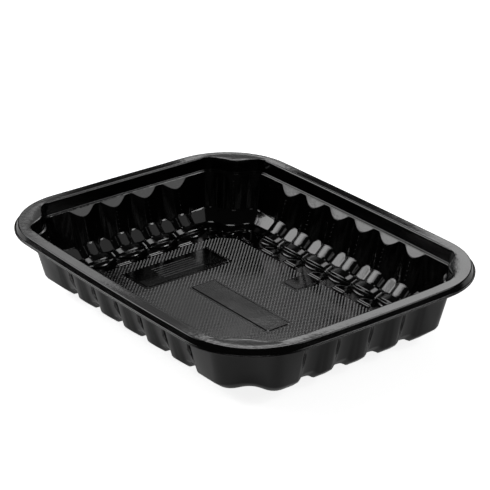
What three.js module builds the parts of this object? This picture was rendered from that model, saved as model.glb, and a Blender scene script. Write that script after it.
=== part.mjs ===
// Empty food tray of the kind that a film is sealed onto: one sheet of black plastic, drawn into a mould.
// A flat sealing flange runs round the mouth, with a short skirt and lip outside it. Below the flange the
// wall steps in at a narrow ledge, and from there vertical flutes stiffen it down to a sloping base.
// Each corner is pushed in as a blunt block, so that the flange widens there.
//
// The sheet follows one section, from the lip's edge to the floor. Every station of that section is a
// closed ring round the tray, and the solid is the loft over all rings of the upper and the lower face.

import * as THREE from 'three';

// Overall size over the lip, in millimetres, and the sheet's thickness. Between the corners the rim
// springs out a little, and that bow fades towards the foot.
const LENGTH = 227;
const WIDTH = 178;
const HEIGHT = 38;
const LIP_RADIUS = 43.5;
const LONG_BOW = 0.9;
const SHORT_BOW = 0.6;
const SHEET = 0.6;

// Rim: the lip, the skirt that leans out to it, and the flat flange with its round inner edge
const LIP_WIDTH = 1.1;
const SKIRT_DROP = 3.2;
const SKIRT_LEAN = 0.75;
const SKIRT_BEVEL = 0.3;
const FLANGE_WIDTH = 5.5;
const FLANGE_ROUND = 1.4;

// Wall: a plain upper band, the ledge, then the fluted part down to the shoulder
const LEDGE_DROP = 7.9;
const UPPER_LEAN = 0.3;
const LEDGE_WIDTH = 1.2;
const LEDGE_FALL = 0.2;
const SHOULDER_DROP = 28.9;
const WALL_LEAN = 4.45;
const LONG_EXTRA_LEAN = 0.8;
const SHORT_EXTRA_LEAN = -0.3;

// Base: it slopes in from the shoulder to a heel and a flat foot, and the floor is pressed down inside that
const HEEL_DROP = 34.6;
const HEEL_LEAN = 6.6;
const FOOT_LEAN = 5.4;
const FOOT_FALL = 0.2;
const FOOT_WIDTH = 9.2;
const FLOOR_FALL = 0.7;

// Flutes along each side: how many, how far apart and how wide. Their tops slope in from the ledge like half
// moons, they run down to the shoulder, and below it each one slopes to the floor as a broad buttress.
const LONG_FLUTES = 6;
const LONG_PITCH = 21;
const SHORT_FLUTES = 4;
const SHORT_PITCH = 21.4;
const FLUTE_WIDTH = 16.8;
const FLUTE_STEPS = [-1, -0.9, -0.6, 0, 0.6, 0.9, 1];
const MOON_DEPTH = 2.75;
const MOON_DROP = 4.4;
const MOON_LIP = 0.4;
const SHOULDER_DEPTH = 2.6;
const SHOULDER_RISE = 1.2;
const BUTTRESS_EDGE = 0.9;
const BUTTRESS_FLANK = 0.3;
const HEEL_DEPTH = 2.3;
const HEEL_RISE = 2.65;
const FOOT_DEPTH = 3.3;

// Corner blocks, from the outer corner of the lip's rectangle: where the sides turn in, and the nose
const BLOCK_TURN = 31.5;
const BLOCK_NOSE = 25;
const BLOCK_TURN_SPREAD = 0.6;
const BLOCK_NOSE_SPREAD = 0.85;
const BLOCK_ROUND = 5.5;
const FLOOR_RADIUS = 15;
const TURN_STEPS = 3;
const NOSE_STEPS = 4;
const SIDE_GAP = 0.8;

// Stations of the section's upper face, each a length in from the lip's edge and down from the flange

const flangeStart = LIP_WIDTH + SKIRT_LEAN + SKIRT_BEVEL;
const flangeEnd = flangeStart + FLANGE_WIDTH;
const wallTop = flangeEnd + FLANGE_ROUND;
const ledgeStart = wallTop + UPPER_LEAN;
const ledgeEnd = ledgeStart + LEDGE_WIDTH;
const shoulder = ledgeEnd + WALL_LEAN;
const heel = shoulder + HEEL_LEAN;
const foot = heel + FOOT_LEAN;
const floorStart = foot + FOOT_WIDTH;
const footDrop = HEIGHT - SHEET - FLOOR_FALL;
const roundMiddle = FLANGE_ROUND * Math.SQRT1_2;
const moonStart = LEDGE_DROP + LEDGE_FALL + MOON_LIP;

const moonShape = (u) => Math.cos((Math.PI / 2) * u);
const buttressShape = (u) => THREE.MathUtils.clamp((BUTTRESS_EDGE - Math.abs(u)) / BUTTRESS_FLANK, 0, 1);

const plain = { arc: 0, depth: 0, sag: 0, shape: moonShape };
const rim = (inset, drop) => ({ ...plain, inset, drop, arc: LIP_RADIUS });
const wall = (inset, drop) => ({ ...plain, inset, drop });
const fluted = (inset, drop, depth, sag, shape) => ({ ...plain, inset, drop, depth, sag, shape });
const floor = (inset, drop) => ({ ...plain, inset, drop, arc: floorStart + FLOOR_RADIUS });

const upperFace = [
  rim(0, SKIRT_DROP),
  rim(LIP_WIDTH, SKIRT_DROP),
  rim(LIP_WIDTH + SKIRT_LEAN, SKIRT_BEVEL),
  rim(flangeStart, 0),
  wall(flangeEnd, 0),
  wall(flangeEnd + roundMiddle, FLANGE_ROUND - roundMiddle),
  wall(wallTop, FLANGE_ROUND),
  wall(ledgeStart, LEDGE_DROP),
  wall(ledgeEnd, LEDGE_DROP + LEDGE_FALL),
  fluted(ledgeEnd + LEDGE_FALL, moonStart, MOON_DEPTH, MOON_DROP - MOON_LIP, moonShape),
  fluted(shoulder, SHOULDER_DROP, SHOULDER_DEPTH, -SHOULDER_RISE, moonShape),
  fluted(heel, HEEL_DROP, HEEL_DEPTH, -HEEL_RISE, buttressShape),
  fluted(foot, footDrop - FOOT_FALL, FOOT_DEPTH, 0, buttressShape),
  floor(floorStart, footDrop),
  floor(floorStart + FLOOR_FALL, footDrop + FLOOR_FALL),
];

// The lower face lies one sheet thickness away, measured square to the section on both sides of a station
function squareTo(from, to) {
  return new THREE.Vector2(from.drop - to.drop, to.inset - from.inset).normalize();
}

const down = new THREE.Vector2(0, 1);

const lowerFace = upperFace.map((station, k) => {
  const after = k + 1 < upperFace.length ? squareTo(station, upperFace[k + 1]) : down;
  const before = k > 0 ? squareTo(upperFace[k - 1], station) : after;
  const away = before.clone().add(after).multiplyScalar(SHEET / (1 + before.dot(after)));
  return { ...station, inset: station.inset + away.x, drop: station.drop + away.y };
});

// Rings round the tray, worked out for the corner at +X +Y and mirrored to the other three

function halfSide(flutes, pitch, end, shape) {
  const squeeze = Math.min(1, (2 * (end - SIDE_GAP)) / ((flutes - 1) * pitch + FLUTE_WIDTH));
  const samples = [];
  for (let k = 0; k < flutes / 2; k += 1) {
    for (const u of FLUTE_STEPS) {
      const along = (k + 0.5) * pitch + (u * FLUTE_WIDTH) / 2;
      const bow = 1 - ((squeeze * along) / end) ** 2;
      samples.push({ along: squeeze * along, push: shape(u), bow });
    }
  }
  return samples;
}

function roundOff(before, vertex, after, steps) {
  const start = vertex.clone().add(before.clone().sub(vertex).setLength(BLOCK_ROUND));
  const end = vertex.clone().add(after.clone().sub(vertex).setLength(BLOCK_ROUND));
  return new THREE.QuadraticBezierCurve(start, vertex, end).getPoints(steps);
}

function cornerOutline({ inset, arc }, outer) {
  if (arc > 0) {
    const radius = arc - inset;
    const curve = new THREE.EllipseCurve(outer.x - arc, outer.y - arc, radius, radius, 0, Math.PI / 2);
    return curve.getPoints(2 * TURN_STEPS + NOSE_STEPS + 2);
  }
  const turn = BLOCK_TURN + BLOCK_TURN_SPREAD * (inset - ledgeEnd);
  const nose = BLOCK_NOSE + BLOCK_NOSE_SPREAD * (inset - ledgeEnd);
  const sideEnd = new THREE.Vector2(outer.x - inset, 0);
  const firstTurn = new THREE.Vector2(outer.x - inset, outer.y - turn);
  const tip = outer.clone().subScalar(nose);
  const lastTurn = new THREE.Vector2(outer.x - turn, outer.y - inset);
  const otherEnd = new THREE.Vector2(0, outer.y - inset);
  return [
    ...roundOff(sideEnd, firstTurn, tip, TURN_STEPS),
    ...roundOff(firstTurn, tip, lastTurn, NOSE_STEPS),
    ...roundOff(tip, lastTurn, otherEnd, TURN_STEPS),
  ];
}

function ring(station) {
  const { inset, drop, depth, sag, shape } = station;
  const sunk = Math.min(1, drop / footDrop);
  const outer = new THREE.Vector2(LENGTH / 2 - SHORT_EXTRA_LEAN * sunk, WIDTH / 2 - LONG_EXTRA_LEAN * sunk);
  const bend = cornerOutline(station, outer).map(({ x, y }) => new THREE.Vector3(x, y, HEIGHT - drop));
  const endSide = halfSide(SHORT_FLUTES, SHORT_PITCH, bend.at(0).y, shape).map(({ along, push, bow }) => {
    const out = outer.x - inset - depth * push + SHORT_BOW * (1 - sunk) * bow;
    return new THREE.Vector3(out, along, HEIGHT - drop - sag * push);
  });
  const longSide = halfSide(LONG_FLUTES, LONG_PITCH, bend.at(-1).x, shape).map(({ along, push, bow }) => {
    const out = outer.y - inset - depth * push + LONG_BOW * (1 - sunk) * bow;
    return new THREE.Vector3(along, out, HEIGHT - drop - sag * push);
  });
  const quarter = [...endSide, ...bend, ...longSide.reverse()];
  const back = [...quarter].reverse();
  const mirrored = (points, x, y) => points.map((p) => new THREE.Vector3(x * p.x, y * p.y, p.z));
  return [...quarter, ...mirrored(back, -1, 1), ...mirrored(quarter, -1, -1), ...mirrored(back, 1, -1)];
}

// Loft from the middle of the floor's upper face, out over the rim, and back to the middle underneath

function loft(rings) {
  const size = rings[0].length;
  const first = rings[0];
  const last = rings[rings.length - 1];
  const points = [...rings.flat(), new THREE.Vector3(0, 0, first[0].z), new THREE.Vector3(0, 0, last[0].z)];
  const topMiddle = points.length - 2;
  const underMiddle = points.length - 1;
  const lastStart = size * (rings.length - 1);
  const index = [];
  for (let k = 0; k < size; k += 1) {
    const next = (k + 1) % size;
    for (let r = 0; r < lastStart; r += size) {
      index.push(r + k, r + size + k, r + size + next);
      index.push(r + k, r + size + next, r + next);
    }
    index.push(topMiddle, k, next);
    index.push(underMiddle, lastStart + next, lastStart + k);
  }
  const geometry = new THREE.BufferGeometry().setFromPoints(points);
  geometry.setIndex(index);
  geometry.computeVertexNormals();
  return geometry;
}

const rings = [...upperFace.map(ring).reverse(), ...lowerFace.map(ring)];
const blackPlastic = new THREE.MeshStandardMaterial({ color: 0x0c0c0d, roughness: 0.22, metalness: 0 });
const tray = new THREE.Mesh(loft(rings), blackPlastic);
tray.name = 'tray';

const part = new THREE.Group();
part.add(tray);

export default part;
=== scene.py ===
import math

import bpy
import numpy as np
from mathutils import Matrix, Vector
from mathutils.geometry import delaunay_2d_cdt


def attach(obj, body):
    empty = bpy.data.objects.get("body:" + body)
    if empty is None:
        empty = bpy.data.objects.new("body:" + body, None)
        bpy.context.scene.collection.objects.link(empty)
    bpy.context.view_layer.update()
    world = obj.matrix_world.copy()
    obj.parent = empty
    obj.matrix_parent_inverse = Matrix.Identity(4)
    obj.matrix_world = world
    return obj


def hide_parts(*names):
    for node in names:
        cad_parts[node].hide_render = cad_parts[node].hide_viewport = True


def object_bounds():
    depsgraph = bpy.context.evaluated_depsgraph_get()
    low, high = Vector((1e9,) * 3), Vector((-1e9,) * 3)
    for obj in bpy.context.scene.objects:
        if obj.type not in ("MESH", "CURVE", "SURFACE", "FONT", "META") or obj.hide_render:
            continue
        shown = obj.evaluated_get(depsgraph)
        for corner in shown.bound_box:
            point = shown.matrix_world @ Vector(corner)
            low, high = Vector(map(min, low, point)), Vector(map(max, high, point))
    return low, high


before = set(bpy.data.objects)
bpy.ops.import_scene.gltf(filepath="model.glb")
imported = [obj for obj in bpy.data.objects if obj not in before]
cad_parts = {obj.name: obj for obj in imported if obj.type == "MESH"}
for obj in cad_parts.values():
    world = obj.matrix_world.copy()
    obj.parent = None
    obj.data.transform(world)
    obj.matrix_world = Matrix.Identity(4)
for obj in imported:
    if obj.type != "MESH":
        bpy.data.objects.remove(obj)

solid_box = [list(corner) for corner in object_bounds()]

# Drawn sheet: the whole tray is one sheet of black plastic, heated and drawn into a mould.
# Its section runs from the lip's cut edge over the flange, down the fluted wall and over the foot.
# Lengths are in millimetres, and those of the section go in from the lip's edge and down from the flange.

MILLIMETRE = 0.001
LENGTH = 227.0
WIDTH = 178.0
HEIGHT = 38.0
SHEET = 0.6
LIP_RADIUS = 43.5
LONG_BOW = 0.9
SHORT_BOW = 0.6
LONG_LEAN = 0.8
SHORT_LEAN = -0.3
FOOT_DROP = 36.7
FLOOR_DROP = 37.4

LONG_FLUTES = 6
LONG_PITCH = 21.0
SHORT_FLUTES = 4
SHORT_PITCH = 21.4
FLUTE_WIDTH = 16.8
FLUTE_COLUMNS = 20
LAST_VALLEY = 1.5
BARREL_HALF = 3.9
BARREL_FLANK = 6.9
BARREL_CROWN = 0.18
STRIP_HALF = 3.6
STRIP_RUN = 1.167
ARCH_RISE = 1.65
TONGUE_FLAT = 4.2
TONGUE_END = 6.0

BLOCK_LEDGE = 10.55
BLOCK_TURN = 31.5
BLOCK_NOSE = 25.0
BLOCK_TURN_SPREAD = 0.6
BLOCK_NOSE_SPREAD = 0.85
BLOCK_ROUND = 5.5
FLOOR_EDGE = 36.7
FLOOR_RADIUS = 15.0
TURN_COLUMNS = 9
FACE_COLUMNS = 4
NOSE_COLUMNS = 10
ARC_GAP = 0.01
CORNER_LENS = 0.3
CORNER_BITE_PLACE = 0.62
CORNER_BITE_FLAT = 0.08
CORNER_BITE_END = 0.2

ROUND_SHARE = 0.45
SUPPORT_GAP = 0.12
SUPPORT_SHARE = 0.04
MITRE_LIMIT = 0.6


def section_point(inset, drop, deeper=0.0, lower=0.0, shape="plain", round_by=0.0, steps=0,
                  outline="block", nose=0.0, arch=0.0):
    # A place of the section. Where its shape is full it lies deeper in and lower than the plain sheet.
    return {"inset": inset, "drop": drop, "deeper": deeper, "lower": lower, "shape": shape,
            "round": round_by, "steps": steps, "outline": outline, "nose": nose, "arch": arch}


section = [
    # Lip and skirt
    section_point(0.0, 3.2, outline="rim"),
    section_point(0.8, 3.2, outline="rim", round_by=0.35, steps=3),
    # Flange, from its outer to its inner edge
    section_point(2.1, 0.0, 0.0, 0.2, "droop", outline="rim", round_by=0.45, steps=4),
    section_point(3.3, 0.0, 0.0, 0.16, "droop", outline="rim"),
    section_point(4.7, 0.035, 0.0, 0.12, "droop", outline="rim"),
    section_point(6.3, 0.0, 0.0, 0.07, "droop", outline="rim"),
    section_point(9.02, 0.0, 0.0, 0.55, "sag", round_by=1.4, steps=6),
    # Ledge at the foot of the upper wall, and the half-moon tops of the flutes
    section_point(9.35, 7.9, round_by=0.5, steps=3),
    section_point(10.55, 8.1, round_by=0.3, steps=3),
    section_point(10.75, 8.5, 2.75, 4.0, "moon", round_by=0.4, steps=4),
    # Shoulder, and the barrels below it
    section_point(16.93, 30.55, 0.57, -2.95, "barrel", round_by=0.8, steps=5, arch=ARCH_RISE),
    section_point(21.6, 34.55, 0.9, -2.2, "barrel", round_by=0.8, steps=4),
    # Terrace below the barrels, and the scallops at its edge
    section_point(22.5, 34.95, 0.9, -1.9, "terrace", round_by=0.2, steps=1),
    section_point(26.6, 36.3, 1.0, -1.9, "terrace", round_by=0.4, steps=3, nose=1.2),
    section_point(26.8, 36.4, 1.5, -0.6, "lens", round_by=0.12, steps=1, nose=1.6),
    section_point(27.1, 36.5, 3.4, 0.3, "lens", round_by=0.25, steps=3, nose=3.1),
    section_point(27.25, 36.55, 3.45, 0.8, "lens", round_by=0.25, steps=3, nose=3.2),
    # Foot, which steps down to the floor at the end of each tongue
    section_point(35.5, 36.9, 0.0, 0.5, "bite", round_by=0.15, steps=2, outline="floor"),
    section_point(35.85, 37.1, 0.0, 0.3, "bite", round_by=0.15, steps=2, outline="floor"),
    section_point(36.35, 37.13, 0.0, 0.27, "bite", round_by=0.15, steps=2, outline="floor"),
    section_point(FLOOR_EDGE, FLOOR_DROP, outline="floor"),
]


def smooth_step(low, high, value):
    t = np.clip((value - low) / (high - low), 0.0, 1.0)
    return t * t * (3.0 - 2.0 * t)


def half_side(flutes, pitch):
    # How full each shape is at the columns of half a side. Moon, barrel, terrace and lens belong to a flute,
    # the arch to the flat strip in the valley between two, and the bite to the gap between two tongues.
    # Droop is the flange's warp along the side, and sag its warp at the corners.
    reach = flutes / 2 * pitch - LAST_VALLEY
    count = int(flutes / 2 * FLUTE_COLUMNS)
    along = (np.arange(count) + 0.5) * reach / count
    from_valley = np.abs(along - pitch * np.round(along / pitch))
    from_flute = pitch / 2 - from_valley
    crown = 1.0 - BARREL_CROWN * (from_flute / BARREL_HALF) ** 2
    return {
        "along": along,
        "moon": np.cos(math.pi / 2 * np.minimum(1.0, 2.0 * from_flute / FLUTE_WIDTH)),
        "barrel": crown * (1.0 - smooth_step(BARREL_HALF, BARREL_FLANK, from_flute)),
        "arch": np.maximum(0.0, 1.0 - (from_valley / STRIP_HALF) ** 3),
        "droop": 1.0 - (along / reach) ** 4,
        "sag": np.zeros(count),
        "terrace": 1.0 - (2.0 * from_flute / pitch) ** 3,
        "lens": 1.0 - (2.0 * from_flute / pitch) ** 2,
        "bite": smooth_step(TONGUE_FLAT, TONGUE_END, from_valley),
        "plain": np.zeros(count),
    }


end_side = half_side(SHORT_FLUTES, SHORT_PITCH)
long_side = half_side(LONG_FLUTES, LONG_PITCH)
corner_columns = 2 * TURN_COLUMNS + 2 * FACE_COLUMNS + NOSE_COLUMNS
corner_place = np.linspace(-1.0, 1.0, corner_columns)
from_bite = np.abs(np.abs(corner_place) - CORNER_BITE_PLACE)
corner_side = {
    "moon": np.zeros(corner_columns),
    "barrel": np.zeros(corner_columns),
    "arch": np.ones(corner_columns),
    "droop": np.zeros(corner_columns),
    "sag": (1.0 - corner_place ** 2) ** 2,
    "terrace": np.zeros(corner_columns),
    "lens": CORNER_LENS * (1.0 - corner_place ** 2),
    "bite": 1.0 - smooth_step(CORNER_BITE_FLAT, CORNER_BITE_END, from_bite),
    "plain": np.zeros(corner_columns),
}
corner_arcs = {"rim": LIP_RADIUS, "floor": FLOOR_EDGE + FLOOR_RADIUS}


def round_off(before, vertex, after, columns):
    start = vertex + (before - vertex) / np.linalg.norm(before - vertex) * BLOCK_ROUND
    end = vertex + (after - vertex) / np.linalg.norm(after - vertex) * BLOCK_ROUND
    t = np.linspace(0.0, 1.0, columns)[:, None]
    return (1 - t) ** 2 * start + 2 * t * (1 - t) * vertex + t ** 2 * end


def straight(start, end, columns):
    t = (np.arange(columns) + 1.0)[:, None] / (columns + 1.0)
    return start + (end - start) * t


def past_bend(side, end, radius):
    # How far round the corner's arc each column of a side lies, where the side is longer than its straight.
    return np.maximum(0.0, side["along"] - end) / radius


def corner_outline(inset, outer, outline, nose_more):
    # Rim and floor turn the corner on an arc, and the wall between them on a blunt block pushed in.
    if outline in corner_arcs:
        arc = corner_arcs[outline]
        first = past_bend(end_side, outer[1] - arc, arc - inset)[-1] + ARC_GAP
        last = past_bend(long_side, outer[0] - arc, arc - inset)[-1] + ARC_GAP
        turn = np.linspace(first, math.pi / 2 - last, corner_columns)
        return outer - arc + (arc - inset) * np.stack([np.cos(turn), np.sin(turn)], 1)
    turn = BLOCK_TURN + BLOCK_TURN_SPREAD * (inset - BLOCK_LEDGE)
    nose = BLOCK_NOSE + BLOCK_NOSE_SPREAD * (inset - BLOCK_LEDGE) + nose_more
    first = np.array([outer[0] - inset, outer[1] - turn])
    tip = outer - nose
    last = np.array([outer[0] - turn, outer[1] - inset])
    bend_in = round_off(np.array([first[0], 0.0]), first, tip, TURN_COLUMNS)
    bend_nose = round_off(first, tip, last, NOSE_COLUMNS)
    bend_out = round_off(tip, last, np.array([0.0, last[1]]), TURN_COLUMNS)
    return np.concatenate([
        bend_in,
        straight(bend_in[-1], bend_nose[0], FACE_COLUMNS),
        bend_nose,
        straight(bend_nose[-1], bend_out[0], FACE_COLUMNS),
        bend_out,
    ])


def quarter_ring(point, shift):
    # One point of the section carried round the quarter at +X +Y. The shift moves each side's columns
    # from the upper to the lower face, as a pair of lengths in and down.
    shape = point["shape"]
    arch = point["arch"]
    mean_drop = point["drop"] - arch + float(np.mean(shift["corner"][1]))
    sunk = min(1.0, mean_drop / FOOT_DROP)
    outer = np.array([LENGTH / 2 - SHORT_LEAN * sunk, WIDTH / 2 - LONG_LEAN * sunk])
    corner_inset = point["inset"] - STRIP_RUN * arch + float(np.mean(shift["corner"][0]))
    bend = corner_outline(corner_inset, outer, point["outline"], point["nose"])
    bend_level = HEIGHT - point["drop"] - point["lower"] * corner_side[shape] - shift["corner"][1]
    bend_level = bend_level + arch * corner_side["arch"]
    sides = {}
    for name, side, bow, half, far, bend_start in (
        ("end", end_side, SHORT_BOW, outer[0], outer[1], bend[0][1]),
        ("long", long_side, LONG_BOW, outer[1], outer[0], bend[-1][0]),
    ):
        along = side["along"]
        inset = point["inset"] + point["deeper"] * side[shape] + shift[name][0]
        inset = inset - STRIP_RUN * arch * side["arch"]
        spring = bow * (1.0 - sunk) * (1.0 - (along / max(bend_start, along[-1])) ** 2)
        if point["outline"] in corner_arcs:
            arc = corner_arcs[point["outline"]]
            turn = past_bend(side, far - arc, arc - corner_inset)
            inset = inset + (arc - corner_inset) * (1.0 - np.cos(turn))
            along = np.minimum(along, far - arc) + (arc - corner_inset) * np.sin(turn)
        level = HEIGHT - point["drop"] - point["lower"] * side[shape] - shift[name][1]
        level = level + arch * side["arch"]
        sides[name] = (half - inset + spring, along, level)
    end_points = np.stack(sides["end"], 1)
    long_points = np.stack(sides["long"], 1)[:, [1, 0, 2]]
    bend_points = np.column_stack([bend, bend_level])
    return np.concatenate([end_points, bend_points, long_points[::-1]])


def whole_ring(quarter):
    back = quarter[::-1]
    flips = [(quarter, 1, 1), (back, -1, 1), (quarter, -1, -1), (back, 1, -1)]
    return np.concatenate([points * np.array([x, y, 1.0]) for points, x, y in flips])


def rounded_rows(corners, rounds, steps, support):
    # Each row of corner points is one station all round the tray, and a rounded station becomes several.
    # A supporting row just outside each rounding keeps the light on the faces beside it even.
    rows = [corners[0]]
    for k in range(1, len(corners) - 1):
        if steps[k] == 0:
            rows.append(corners[k])
            continue
        back = corners[k - 1] - corners[k]
        ahead = corners[k + 1] - corners[k]
        back_length = np.linalg.norm(back, axis=1, keepdims=True)
        ahead_length = np.linalg.norm(ahead, axis=1, keepdims=True)
        reach = np.minimum(rounds[k], ROUND_SHARE * np.minimum(back_length, ahead_length))
        start = corners[k] + back / back_length * reach
        end = corners[k] + ahead / ahead_length * reach
        if support:
            rows.append(start + back / back_length * np.minimum(SUPPORT_GAP, SUPPORT_SHARE * back_length))
        for i in range(steps[k] + 1):
            t = i / steps[k]
            rows.append((1 - t) ** 2 * start + 2 * t * (1 - t) * corners[k] + t ** 2 * end)
        if support:
            rows.append(end + ahead / ahead_length * np.minimum(SUPPORT_GAP, SUPPORT_SHARE * ahead_length))
    rows.append(corners[-1])
    return rows


def lower_shift(side):
    # The lower face lies one sheet thickness away, square to the section.
    # From the scallops on it lies straight below.
    rise = np.array([p["arch"] * side["arch"] for p in section])
    inset = np.array([p["inset"] + p["deeper"] * side[p["shape"]] for p in section]) - STRIP_RUN * rise
    drop = np.array([p["drop"] + p["lower"] * side[p["shape"]] for p in section]) - rise
    run = np.stack([np.diff(inset, axis=0), np.diff(drop, axis=0)], 2)
    square = np.stack([-run[:, :, 1], run[:, :, 0]], 2)
    square /= np.linalg.norm(square, axis=2, keepdims=True)
    before = np.concatenate([square[:1], square])
    after = np.concatenate([square, [np.broadcast_to((0.0, 1.0), square[-1].shape)]])
    meet = np.maximum(MITRE_LIMIT, 1.0 + np.sum(before * after, axis=2, keepdims=True))
    away = (before + after) * SHEET / meet
    first_foot = next(k for k, p in enumerate(section) if p["shape"] == "lens")
    away[first_foot:] = (0.0, SHEET)
    return away


no_shift = {"end": (0.0, 0.0), "corner": (0.0, 0.0), "long": (0.0, 0.0)}
lower_shifts = {
    "end": lower_shift(end_side),
    "corner": lower_shift(corner_side),
    "long": lower_shift(long_side),
}
upper_corners = [whole_ring(quarter_ring(point, no_shift)) for point in section]
lower_corners = []
for k, point in enumerate(section):
    shift = {name: (away[k, :, 0], away[k, :, 1]) for name, away in lower_shifts.items()}
    lower_corners.append(whole_ring(quarter_ring(point, shift)))

rounds = [point["round"] for point in section]
upper_steps = [point["steps"] for point in section]
lower_steps = [min(step, 1) for step in upper_steps]
upper_rows = rounded_rows(upper_corners, rounds, upper_steps, True)
lower_rows = rounded_rows(lower_corners, rounds, lower_steps, False)
rows = upper_rows[::-1] + lower_rows
ring_size = len(rows[0])
sheet_points = np.concatenate(rows)
faces = []
smooth = []
for r in range(len(rows) - 1):
    here = r * ring_size
    there = here + ring_size
    for k in range(ring_size):
        following = (k + 1) % ring_size
        faces.append((here + k, there + k, there + following, here + following))
        smooth.append(True)

# Floor panel: the bottom of the same sheet, pressed flat and covered with small diamond pyramids,
# which the mould leaves in rows along both diagonals. Three smooth plates stand nearly as high.
# The gloss of the whole sheet varies a little in clouds, and its skin has a faint ripple.

KNURL_PITCH = 1.708
KNURL_WIDE = 1.05
KNURL_LONG = 1.62
KNURL_HEIGHT = 0.31
KNURL_TURN = math.radians(45.0)
KNURL_MARGIN = 0.9
KNURL_SPAN = 80.0
PLATE_RISE = 0.24
PLATE_BEVEL = 0.8
PLATE_ROUND = 1.0
PLATE_STEPS = 4
FILL_INSIDE = 1
WELD_GAP = 1e-5
plates = [(-67.0, -27.6, -46.0, 28.0), (-30.6, -8.6, 35.4, 5.6), (-5.4, 35.0, 6.0, 49.2)]
floor_level = HEIGHT - FLOOR_DROP
plate_level = floor_level + PLATE_RISE


def plate_loop(plate, grow):
    # A plate's outline with round corners, or a larger one round it.
    radius = PLATE_ROUND + grow
    left = plate[0] - grow + radius
    near = plate[1] - grow + radius
    right = plate[2] + grow - radius
    far = plate[3] + grow - radius
    loop = []
    for x, y, start in ((right, far, 0.0), (left, far, 0.5), (left, near, 1.0), (right, near, 1.5)):
        for i in range(PLATE_STEPS + 1):
            angle = math.pi * (start + i / (2 * PLATE_STEPS))
            loop.append((x + radius * math.cos(angle), y + radius * math.sin(angle)))
    return loop


floor_ring = rows[0][:, :2]
flat_points = [tuple(p) for p in floor_ring]
flat_levels = [floor_level] * ring_size
flat_edges = [(k, (k + 1) % ring_size) for k in range(ring_size)]
for plate in plates:
    for grow, level in ((PLATE_BEVEL, floor_level), (0.0, plate_level)):
        loop = plate_loop(plate, grow)
        first = len(flat_points)
        flat_points += loop
        flat_levels += [level] * len(loop)
        flat_edges += [(first + k, first + (k + 1) % len(loop)) for k in range(len(loop))]

half_x, half_y = floor_ring.max(axis=0)


def open_floor(x, y, margin):
    past_x = max(0.0, abs(x) - (half_x - FLOOR_RADIUS))
    past_y = max(0.0, abs(y) - (half_y - FLOOR_RADIUS))
    if math.hypot(past_x, past_y) > FLOOR_RADIUS - margin:
        return False
    gap = margin + PLATE_BEVEL
    return not any(p[0] - gap < x < p[2] + gap and p[1] - gap < y < p[3] + gap for p in plates)


turn_cos = math.cos(KNURL_TURN)
turn_sin = math.sin(KNURL_TURN)


def knurl_place(i, j):
    u = i * KNURL_PITCH
    v = j * KNURL_PITCH
    return u * turn_cos - v * turn_sin, u * turn_sin + v * turn_cos


wide = KNURL_WIDE / KNURL_PITCH / 2
long = KNURL_LONG / KNURL_PITCH / 2
knurl_reach = int(KNURL_SPAN / KNURL_PITCH) + 2
for i in range(-knurl_reach, knurl_reach + 1):
    for j in range(-knurl_reach, knurl_reach + 1):
        x, y = knurl_place(i, j)
        if not open_floor(x, y, KNURL_MARGIN):
            continue
        first = len(flat_points)
        for a, b in ((wide, long), (-wide, long), (-wide, -long), (wide, -long)):
            flat_points.append(knurl_place(i + a, j + b))
        flat_points.append((x, y))
        flat_levels += [floor_level] * 4 + [floor_level + KNURL_HEIGHT]
        flat_edges += [(first + k, first + (k + 1) % 4) for k in range(4)]

panel = delaunay_2d_cdt([Vector(p) for p in flat_points], flat_edges, [], FILL_INSIDE, WELD_GAP)
panel_places, _, panel_faces, panel_sources, _, _ = panel
panel_index = []
extra_points = []
for place, sources in zip(panel_places, panel_sources):
    ring_source = [s for s in sources if s < ring_size]
    if ring_source:
        panel_index.append(ring_source[0])
        continue
    level = flat_levels[sources[0]] if sources else floor_level
    panel_index.append(len(sheet_points) + len(extra_points))
    extra_points.append((place[0], place[1], level))
for face in panel_faces:
    faces.append(tuple(panel_index[k] for k in face))
    smooth.append(False)

underside_middle = len(sheet_points) + len(extra_points)
extra_points.append((0.0, 0.0, rows[-1][0, 2]))
last_row = (len(rows) - 1) * ring_size
for k in range(ring_size):
    faces.append((underside_middle, last_row + (k + 1) % ring_size, last_row + k))
    smooth.append(False)

tray_mesh = bpy.data.meshes.new("tray_sheet")
all_points = np.concatenate([sheet_points, np.array(extra_points)]) * MILLIMETRE
tray_mesh.from_pydata([tuple(p) for p in all_points], [], faces)
tray_mesh.polygons.foreach_set("use_smooth", smooth)
tray_mesh.update()
tray = bpy.data.objects.new("tray_sheet", tray_mesh)
bpy.context.collection.objects.link(tray)

DEEP_BLACK = (0.0008, 0.0008, 0.0009, 1.0)
WARM_BLACK = (0.0018, 0.0016, 0.0015, 1.0)
CLOUD_LOW = 0.3
CLOUD_HIGH = 0.7

plastic = bpy.data.materials.new("gloss_black_sheet")
plastic.use_nodes = True
nodes = plastic.node_tree.nodes
links = plastic.node_tree.links
gloss = nodes["Principled BSDF"]
gloss.inputs["IOR"].default_value = 1.5
where = nodes.new("ShaderNodeTexCoord")

cloud = nodes.new("ShaderNodeTexNoise")
cloud.inputs["Scale"].default_value = 60.0
cloud.inputs["Detail"].default_value = 4.0
links.new(where.outputs["Object"], cloud.inputs["Vector"])

tint = nodes.new("ShaderNodeValToRGB")
tint.color_ramp.elements[0].position = CLOUD_LOW
tint.color_ramp.elements[0].color = DEEP_BLACK
tint.color_ramp.elements[1].position = CLOUD_HIGH
tint.color_ramp.elements[1].color = WARM_BLACK
links.new(cloud.outputs["Fac"], tint.inputs["Fac"])
links.new(tint.outputs["Color"], gloss.inputs["Base Color"])

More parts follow.
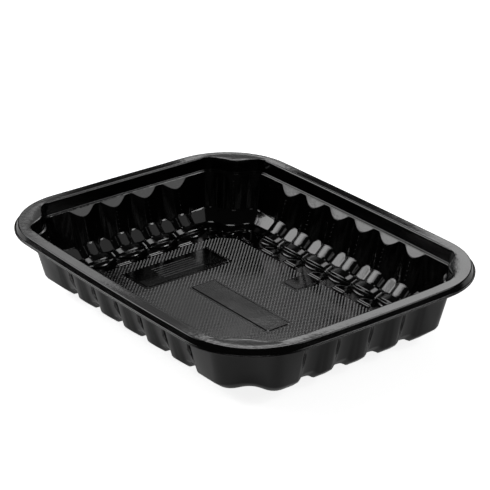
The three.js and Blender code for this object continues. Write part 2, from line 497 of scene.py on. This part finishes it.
matting = nodes.new("ShaderNodeMapRange")
matting.inputs["From Min"].default_value = CLOUD_LOW
matting.inputs["From Max"].default_value = CLOUD_HIGH
matting.inputs["To Min"].default_value = 0.07
matting.inputs["To Max"].default_value = 0.12
links.new(cloud.outputs["Fac"], matting.inputs["Value"])
links.new(matting.outputs["Result"], gloss.inputs["Roughness"])

skin = nodes.new("ShaderNodeTexNoise")
skin.inputs["Scale"].default_value = 420.0
skin.inputs["Detail"].default_value = 3.0
links.new(where.outputs["Object"], skin.inputs["Vector"])
ripple = nodes.new("ShaderNodeBump")
ripple.inputs["Strength"].default_value = 0.15
ripple.inputs["Distance"].default_value = 0.0002
links.new(skin.outputs["Fac"], ripple.inputs["Height"])
links.new(ripple.outputs["Normal"], gloss.inputs["Normal"])

tray_mesh.materials.append(plastic)
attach(tray, "root")
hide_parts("tray")

# Beads, ribs and pips: thin raised lines and dots that the mould leaves in the same black sheet.
# Beads follow the ledge and the shoulder, two strands part below each flute and meet in each valley,
# and a double line ends each tongue. One plate has ribs, and the mould's vent holes leave the pips.

BEAD_SIDES = 6
BEAD_FACE = math.radians(40.0)
RIB_PITCH = 2.4
RIB_RADIUS = 0.15
RIB_FIRST = 4.5
RIB_LAST = 4.0
RIB_INSET = 14.0
RIB_POINTS = 8
PIP_RADIUS = 0.5
PIP_SIDES = 8
PIP_LIFTS = (-0.7, 0.0, 0.7)
PIP_PLACES = (0.2, 0.32, 0.5, 0.66, 0.83)
bead_points = []
bead_faces = []


def add_bead(line, radius, closed):
    # A thin bead with flat faces along a line of points, half of it sunk in the sheet.
    count = len(line)
    if closed:
        ahead = np.roll(line, -1, axis=0) - np.roll(line, 1, axis=0)
    else:
        ahead = np.gradient(line, axis=0)
    ahead /= np.linalg.norm(ahead, axis=1, keepdims=True)
    across = np.cross((0.0, 0.0, 1.0), ahead)
    across /= np.linalg.norm(across, axis=1, keepdims=True)
    upright = np.cross(ahead, across)
    first = len(bead_points)
    for k in range(count):
        for i in range(BEAD_SIDES):
            angle = BEAD_FACE + 2.0 * math.pi * (i + 0.5) / BEAD_SIDES
            out = math.cos(angle) * across[k] + math.sin(angle) * upright[k]
            bead_points.append(tuple(line[k] + radius * out))
    for k in range(count if closed else count - 1):
        here = first + k * BEAD_SIDES
        there = first + (k + 1) % count * BEAD_SIDES
        for i in range(BEAD_SIDES):
            j = (i + 1) % BEAD_SIDES
            bead_faces.append((here + i, here + j, there + j, there + i))
    if not closed:
        last = first + (count - 1) * BEAD_SIDES
        bead_faces.append(tuple(first + i for i in range(BEAD_SIDES))[::-1])
        bead_faces.append(tuple(last + i for i in range(BEAD_SIDES)))


ring_beads = [
    # Ledge and shoulder
    (0.28, section_point(10.6, 8.3)),
    (0.3, section_point(16.89, 30.55, 0.57, -2.95, "barrel", arch=ARCH_RISE)),
    # The two strands at the terrace's edge
    (0.28, section_point(26.7, 36.2, 1.0, -1.9, "terrace", nose=1.2)),
    (0.48, section_point(27.2, 36.35, 3.5, 0.6, "lens", nose=3.1)),
    # The double line, which dips into the sheet between two tongues
    (0.3, section_point(35.2, 36.8, 0.0, 0.9, "bite", outline="floor")),
    (0.3, section_point(36.5, 37.1, 0.0, 0.6, "bite", outline="floor")),
]
for radius, bead in ring_beads:
    add_bead(whole_ring(quarter_ring(bead, no_shift)), radius, True)

ribbed_plate = plates[0]
rib_run = np.linspace(ribbed_plate[1] + RIB_INSET, ribbed_plate[3] - RIB_INSET, RIB_POINTS)
for place in np.arange(ribbed_plate[0] + RIB_FIRST, ribbed_plate[2] - RIB_LAST, RIB_PITCH):
    add_bead(np.array([(place, y, plate_level) for y in rib_run]), RIB_RADIUS, False)


def add_pip(middle):
    first = len(bead_points)
    offsets = []
    for lift in PIP_LIFTS:
        wide = math.sqrt(1.0 - lift * lift)
        for k in range(PIP_SIDES):
            angle = 2.0 * math.pi * k / PIP_SIDES
            offsets.append((wide * math.cos(angle), wide * math.sin(angle), lift))
    offsets += [(0.0, 0.0, -1.0), (0.0, 0.0, 1.0)]
    for offset in offsets:
        bead_points.append(tuple(middle + PIP_RADIUS * np.array(offset)))
    waist = first + PIP_SIDES
    upper = waist + PIP_SIDES
    bottom = upper + PIP_SIDES
    top = bottom + 1
    for k in range(PIP_SIDES):
        j = (k + 1) % PIP_SIDES
        bead_faces.append((first + k, first + j, waist + j, waist + k))
        bead_faces.append((waist + k, waist + j, upper + j, upper + k))
        bead_faces.append((bottom, first + j, first + k))
        bead_faces.append((top, upper + k, upper + j))


moon_quarter = quarter_ring(next(p for p in section if p["shape"] == "moon"), no_shift)
shoulder_quarter = quarter_ring(next(p for p in section if p["shape"] == "barrel"), no_shift)
first_pip_face = len(bead_faces)
pip_columns = [len(end_side["along"]) + corner_columns // 2]
for side, flutes, pitch, first, way in (
    (end_side, SHORT_FLUTES, SHORT_PITCH, 0, 1),
    (long_side, LONG_FLUTES, LONG_PITCH, len(moon_quarter) - 1, -1),
):
    for k in range(flutes // 2):
        nearest = int(np.argmin(np.abs(side["along"] - (k + 0.5) * pitch)))
        pip_columns.append(first + way * nearest)
for column in pip_columns:
    for place in PIP_PLACES:
        spot = moon_quarter[column] * (1.0 - place) + shoulder_quarter[column] * place
        for x, y in ((1, 1), (-1, 1), (-1, -1), (1, -1)):
            add_pip(spot * np.array([x, y, 1.0]))

bead_mesh = bpy.data.meshes.new("tray_beads")
bead_mesh.from_pydata([tuple(MILLIMETRE * p for p in point) for point in bead_points], [], bead_faces)
bead_mesh.polygons.foreach_set("use_smooth", [k >= first_pip_face for k in range(len(bead_faces))])
bead_mesh.update()
bead_mesh.materials.append(plastic)
beads = bpy.data.objects.new("tray_beads", bead_mesh)
bpy.context.collection.objects.link(beads)
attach(beads, "root")

# Studio floor: a wide sheet of plain white board that the tray stands on, not part of the object.
# To the camera it is lit evenly, and the tray mirrors a dim board.

BOARD_HALF = 6.0
BOARD_GAP = 0.0002
BOARD_GLOW = 0.12
BOARD_GLOW_SEEN = 0.74
board_corners = [
    (-BOARD_HALF, -BOARD_HALF, 0.0),
    (BOARD_HALF, -BOARD_HALF, 0.0),
    (BOARD_HALF, BOARD_HALF, 0.0),
    (-BOARD_HALF, BOARD_HALF, 0.0),
]
board_mesh = bpy.data.meshes.new("studio_floor")
board_mesh.from_pydata(board_corners, [], [(0, 1, 2, 3)])
board = bpy.data.objects.new("studio_floor", board_mesh)
board.location = (0.0, 0.0, solid_box[0][2] - BOARD_GAP)
bpy.context.collection.objects.link(board)

white = bpy.data.materials.new("white_board")
white.use_nodes = True
nodes = white.node_tree.nodes
links = white.node_tree.links
matt = nodes["Principled BSDF"]
matt.inputs["Base Color"].default_value = (0.85, 0.85, 0.85, 1.0)
matt.inputs["Emission Color"].default_value = (1.0, 1.0, 1.0, 1.0)
matt.inputs["Roughness"].default_value = 0.9
matt.inputs["Specular IOR Level"].default_value = 0.0
seen = nodes.new("ShaderNodeLightPath")
glow = nodes.new("ShaderNodeMath")
glow.operation = "MULTIPLY_ADD"
glow.inputs[1].default_value = BOARD_GLOW_SEEN
glow.inputs[2].default_value = BOARD_GLOW
links.new(seen.outputs["Is Camera Ray"], glow.inputs[0])
links.new(glow.outputs[0], matt.inputs["Emission Strength"])
board_mesh.materials.append(white)

# Studio light: a dark room with soft boxes at the left, at the right, behind and overhead,
# and with small key lights and dim cards that the gloss sheet mirrors.

studio = bpy.context.scene.world or bpy.data.worlds.new("studio")
bpy.context.scene.world = studio
studio.use_nodes = True
studio.node_tree.nodes["Background"].inputs["Color"].default_value = (1.0, 1.0, 1.0, 1.0)
studio.node_tree.nodes["Background"].inputs["Strength"].default_value = 0.03


def soft_box(name, place, aim, width, height, radiance):
    lamp = bpy.data.lights.new(name, "AREA")
    lamp.shape = "RECTANGLE"
    lamp.size = width
    lamp.size_y = height
    lamp.energy = radiance * math.pi * width * height
    box = bpy.data.objects.new(name, lamp)
    box.location = place
    box.rotation_euler = (aim - place).to_track_quat("-Z", "Y").to_euler()
    bpy.context.collection.objects.link(box)


tray_middle = Vector((0.0, 0.0, 0.02))
for name, azimuth, elevation, away, width, height, radiance in (
    ("left_box", 208.0, 34.0, 1.8, 1.45, 0.9, 2.6),
    ("left_inner_box", 209.0, 34.0, 1.8, 0.9, 0.6, 2.4),
    ("left_strip", 223.0, 12.0, 1.8, 0.6, 0.16, 1.5),
    ("right_box", 40.0, 30.0, 1.8, 0.9, 0.6, 1.7),
    ("right_card", 60.0, 52.0, 1.8, 1.2, 0.7, 0.5),
    ("right_key", 50.0, 40.5, 1.8, 0.3, 0.24, 9.0),
    ("right_strip", 36.0, 15.0, 1.8, 0.6, 0.16, 1.5),
    ("back_box", 130.0, 37.5, 2.2, 0.95, 0.66, 2.5),
    ("back_low_box", 130.5, 26.0, 2.2, 0.28, 0.23, 2.3),
    ("back_card", 149.0, 32.0, 2.2, 0.75, 0.8, 0.34),
    ("back_corner_card", 142.3, 20.8, 2.2, 0.2, 0.1, 2.0),
    ("back_left_card", 152.5, 27.2, 2.2, 0.2, 0.22, 1.2),
    ("overhead_box", 145.0, 67.0, 1.8, 0.5, 0.45, 3.5),
    ("front_key", 322.0, 55.0, 1.8, 0.4, 0.3, 1.0),
):
    turn = math.radians(azimuth)
    lift = math.radians(elevation)
    level_reach = math.cos(lift)
    towards = Vector((math.cos(turn) * level_reach, math.sin(turn) * level_reach, math.sin(lift)))
    soft_box(name, tray_middle + towards * away, tray_middle, width, height, radiance)

# Camera: a long lens in front of the right near corner, above the rim.
# Its place and its three axes come from a fit to the rim's outline, in metres.

FOCAL_PIXELS = 1988.444
IMAGE_PIXELS = 490
SENSOR_WIDTH = 36.0
CAMERA_PLACE = (0.75865566, -0.58873662, 0.47610097)
camera_right = Vector((0.61497237, 0.78854735, 0.00143979))
camera_above = Vector((-0.32998246, 0.25568757, 0.90869987))
camera_behind = Vector((0.71618473, -0.55930041, 0.41744758))
long_lens = bpy.data.cameras.new("camera")
long_lens.sensor_width = SENSOR_WIDTH
long_lens.lens = FOCAL_PIXELS / IMAGE_PIXELS * SENSOR_WIDTH
long_lens.clip_start = 0.05
long_lens.clip_end = 50.0
camera = bpy.data.objects.new("camera", long_lens)
turned = Matrix((camera_right, camera_above, camera_behind)).transposed().to_4x4()
camera.matrix_world = Matrix.Translation(CAMERA_PLACE) @ turned
bpy.context.collection.objects.link(camera)
bpy.context.scene.camera = camera
bpy.context.scene.view_settings.view_transform = "Standard"
bpy.context.scene.view_settings.look = "None"
